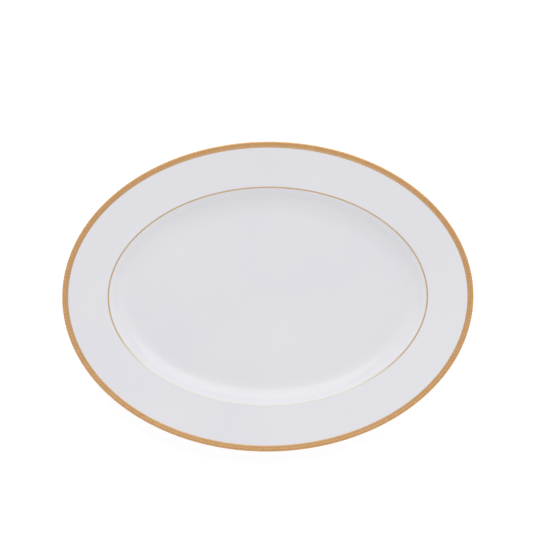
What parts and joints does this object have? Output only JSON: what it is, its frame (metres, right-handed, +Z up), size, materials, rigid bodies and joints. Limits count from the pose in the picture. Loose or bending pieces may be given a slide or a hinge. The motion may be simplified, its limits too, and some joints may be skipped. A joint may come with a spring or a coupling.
{
  "type": "oval serving platter",
  "caption": "Oval serving platter in glazed white bone china, with a wide sloping flange, a shallow well, a bare foot ring, a beaded gold rim and a thin gold line round the well.",
  "frame": {"origin": "on the table, under the middle of the oval", "axes": "+X along the long axis of the oval, +Y across it, +Z up out of the well"},
  "size_m": [0.3556, 0.268, 0.0253],
  "materials": {
    "bone_china": "fired bone china under the glaze",
    "bare_foot": "unglazed and ground flat",
    "glaze": "clear, bright, slightly cool white gloss",
    "gold": "burnished gold, satin to bright"
  },
  "bodies": {
    "root": {"china_body": "bone_china", "foot_ring": "bare_foot", "face_glaze": "glaze", "base_glaze": "glaze", "gold_lip_band": "gold", "gold_bead_row": "gold", "gold_inner_rail": "gold", "gold_verge_line": "gold"}
  },
  "joints": []
}
